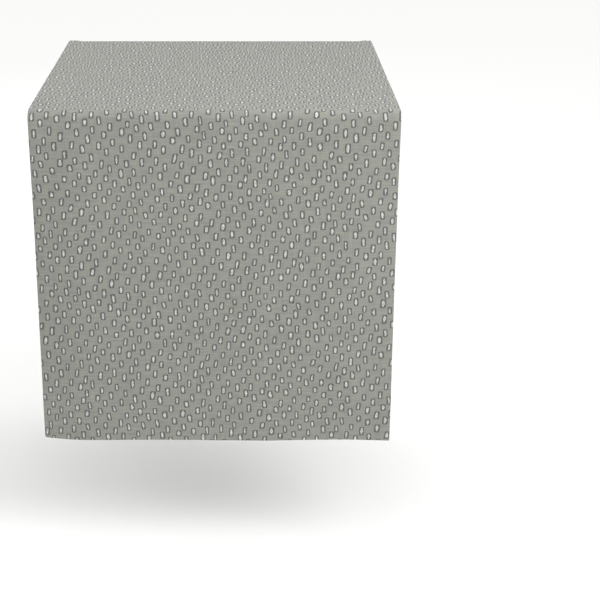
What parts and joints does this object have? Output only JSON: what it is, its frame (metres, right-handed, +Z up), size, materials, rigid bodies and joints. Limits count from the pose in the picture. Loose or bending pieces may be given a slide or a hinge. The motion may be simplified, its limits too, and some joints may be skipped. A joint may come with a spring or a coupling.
{
  "type": "table runner",
  "caption": "Hemmed rectangular cloth runner with an all-over pebble print, draped across a table top so that both ends hang down.",
  "frame": {"origin": "middle of the lying section's underside, on the table top's surface", "axes": "+X across the runner's width to the right seen from the front, -Y towards the front drop, +Z up"},
  "size_m": [0.48, 0.4734, 0.4711],
  "materials": {
    "printed_cloth": "matte",
    "hem_cloth": "matte",
    "sewing_thread": "matte",
    "care_label": "satin"
  },
  "bodies": {
    "lying_cloth": {"top_panel": "printed_cloth", "top_left_hem": "hem_cloth", "top_left_stitches": "sewing_thread", "top_right_hem": "hem_cloth", "top_right_stitches": "sewing_thread", "front_fold": "printed_cloth", "front_fold_left_hem": "hem_cloth", "front_fold_left_stitches": "sewing_thread", "front_fold_right_hem": "hem_cloth", "front_fold_right_stitches": "sewing_thread", "back_fold": "printed_cloth", "back_fold_left_hem": "hem_cloth", "back_fold_left_stitches": "sewing_thread", "back_fold_right_hem": "hem_cloth", "back_fold_right_stitches": "sewing_thread"},
    "front_drop": {"front_drop_panel": "printed_cloth", "front_drop_left_hem": "hem_cloth", "front_drop_left_stitches": "sewing_thread", "front_drop_right_hem": "hem_cloth", "front_drop_right_stitches": "sewing_thread", "front_drop_end_hem": "hem_cloth", "front_drop_end_stitches": "sewing_thread"},
    "back_drop": {"back_drop_panel": "printed_cloth", "back_drop_left_hem": "hem_cloth", "back_drop_left_stitches": "sewing_thread", "back_drop_right_hem": "hem_cloth", "back_drop_right_stitches": "sewing_thread", "back_drop_end_hem": "hem_cloth", "back_drop_end_stitches": "sewing_thread", "care_label": "care_label"}
  },
  "joints": [
    {"name": "front_drop_swing", "type": "hinge", "parent": "lying_cloth", "child": "front_drop", "pos_m": [0, -0.2328, -0.0022], "axis": [-1, 0, 0], "range_deg": [0, 90], "deforming": ["front_fold", "front_fold_left_hem", "front_fold_left_stitches", "front_fold_right_hem", "front_fold_right_stitches"]},
    {"name": "back_drop_swing", "type": "hinge", "parent": "lying_cloth", "child": "back_drop", "pos_m": [0, 0.2328, -0.0022], "axis": [1, 0, 0], "range_deg": [0, 90], "deforming": ["back_fold", "back_fold_left_hem", "back_fold_left_stitches", "back_fold_right_hem", "back_fold_right_stitches"]}
  ]
}
